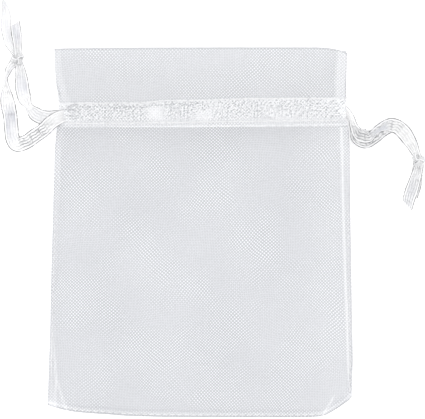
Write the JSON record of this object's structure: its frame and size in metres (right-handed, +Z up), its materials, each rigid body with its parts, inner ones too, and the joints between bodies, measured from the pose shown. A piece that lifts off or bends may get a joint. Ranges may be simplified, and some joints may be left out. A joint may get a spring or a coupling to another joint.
{
  "type": "drawstring gift pouch",
  "caption": "Flat sheer fabric gift pouch with a frill above a sewn casing, and ribbon drawstrings that close its neck from both sides.",
  "frame": {"origin": "on the surface the pouch lies on, below the middle of the pouch's width and length, with the free drawstring ends left out", "axes": "+X across the pouch to the right as its front is seen, +Y from the bottom seam to the mouth, +Z up from the back panel to the front panel"},
  "size_m": [0.1402, 0.1374, 0.0085],
  "materials": {
    "body_organza": "sheer plain-weave organza, one ply on each face",
    "neck_organza": "sheer plain-weave organza, outer ply of the neck",
    "hem_organza": "sheer plain-weave organza, folded-in ply of the neck",
    "allowance_organza": "raw-edged organza seam allowance",
    "ribbon": "glossy organza ribbon with woven edges",
    "thread": "matte sewing thread"
  },
  "bodies": {
    "pouch": {"front_panel": "body_organza", "back_panel": "body_organza", "front_neck": "neck_organza", "back_neck": "neck_organza", "front_hem": "hem_organza", "back_hem": "hem_organza", "left_side_allowance": "allowance_organza", "right_side_allowance": "allowance_organza", "bottom_allowance": "allowance_organza", "left_side_stitches": "thread", "right_side_stitches": "thread", "bottom_stitches": "thread", "front_lower_stitches": "thread", "front_upper_stitches": "thread", "back_lower_stitches": "thread", "back_upper_stitches": "thread"},
    "left_drawstring": {"left_ribbon_loop": "ribbon", "left_front_lead": "ribbon", "left_back_lead": "ribbon", "left_knot": "ribbon", "left_long_tail": "ribbon", "left_short_tail": "ribbon"},
    "right_drawstring": {"right_ribbon_loop": "ribbon", "right_front_lead": "ribbon", "right_back_lead": "ribbon", "right_knot": "ribbon", "right_long_tail": "ribbon", "right_short_tail": "ribbon"},
    "left_neck_end": {"left_header_allowance": "allowance_organza", "left_exit_tacks": "thread"},
    "right_neck_end": {"right_header_allowance": "allowance_organza", "right_exit_tacks": "thread"}
  },
  "joints": [
    {"name": "left_drawstring_pull", "type": "slide", "parent": "pouch", "child": "left_drawstring", "axis": [-1, 0, 0], "range_m": [0, 0.032]},
    {"name": "right_drawstring_pull", "type": "slide", "parent": "pouch", "child": "right_drawstring", "axis": [1, 0, 0], "range_m": [0, 0.032]},
    {"name": "left_neck_gather", "type": "slide", "parent": "pouch", "child": "left_neck_end", "axis": [1, 0, 0], "range_m": [0, 0.032], "deforming": ["front_neck", "back_neck", "front_hem", "back_hem", "front_lower_stitches", "front_upper_stitches", "back_lower_stitches", "back_upper_stitches"]},
    {"name": "right_neck_gather", "type": "slide", "parent": "pouch", "child": "right_neck_end", "axis": [-1, 0, 0], "range_m": [0, 0.032]}
  ],
  "couplings": [
    {"joint": "right_drawstring_pull", "follows": "left_drawstring_pull", "ratio": 1},
    {"joint": "left_neck_gather", "follows": "left_drawstring_pull", "ratio": 1},
    {"joint": "right_neck_gather", "follows": "left_drawstring_pull", "ratio": 1}
  ]
}
